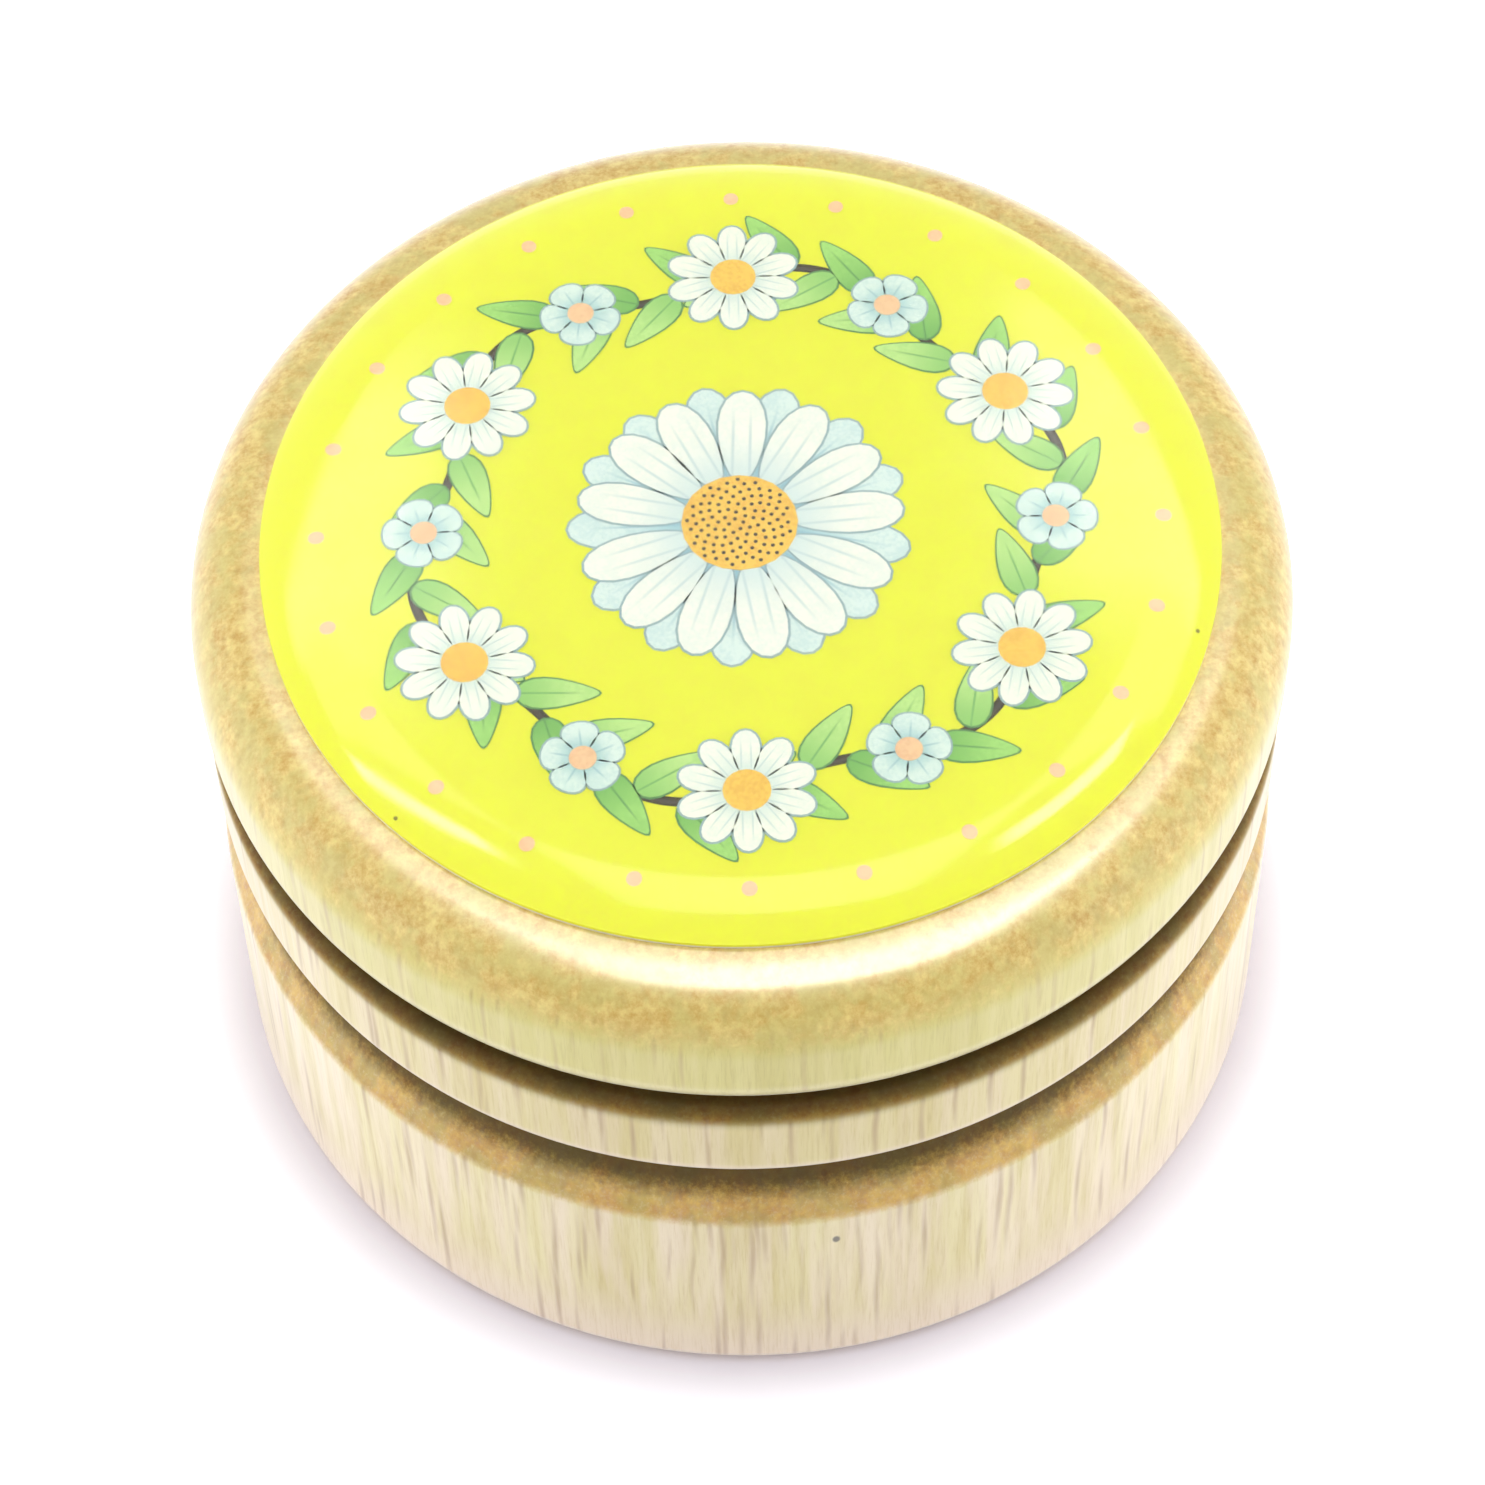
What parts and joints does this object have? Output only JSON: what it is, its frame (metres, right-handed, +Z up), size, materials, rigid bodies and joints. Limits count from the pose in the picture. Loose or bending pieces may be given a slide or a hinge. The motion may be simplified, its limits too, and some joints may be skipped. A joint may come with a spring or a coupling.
{
  "type": "baby tooth box",
  "caption": "Small round turned-wood keepsake box for milk teeth: hollow base with a bead and groove, screw lid with a rounded crown, and a domed round label on top.",
  "frame": {"origin": "centre of the flat bottom face, on the axis that the box is turned about", "axes": "+Z up along the turning axis, through the lid; X and Y lie in the bottom face, with -Y towards the picture's viewer"},
  "size_m": [0.045, 0.045, 0.031],
  "materials": {
    "turned_wood": "fine pale hardwood with short dark pores, satin lacquer",
    "label_adhesive": "thin translucent adhesive",
    "label_print": null,
    "label_resin": "clear, glossy doming resin"
  },
  "bodies": {
    "base": {"base": "turned_wood"},
    "lid_carrier": {"label_adhesive": "label_adhesive"},
    "lid": {"lid": "turned_wood", "label_film": "label_print", "label_dome": "label_resin"}
  },
  "joints": [
    {"name": "lid_lift", "type": "slide", "parent": "base", "child": "lid_carrier", "axis": [0, 0, 1], "range_m": [0, 0.02]},
    {"name": "lid_turn", "type": "hinge", "parent": "lid_carrier", "child": "lid", "pos_m": [0, 0, 0.0219], "axis": [0, 0, 1], "range_deg": [0, 2880]}
  ],
  "couplings": [
    {"joint": "lid_lift", "follows": "lid_turn", "m_per_rad": 0.00039789}
  ]
}
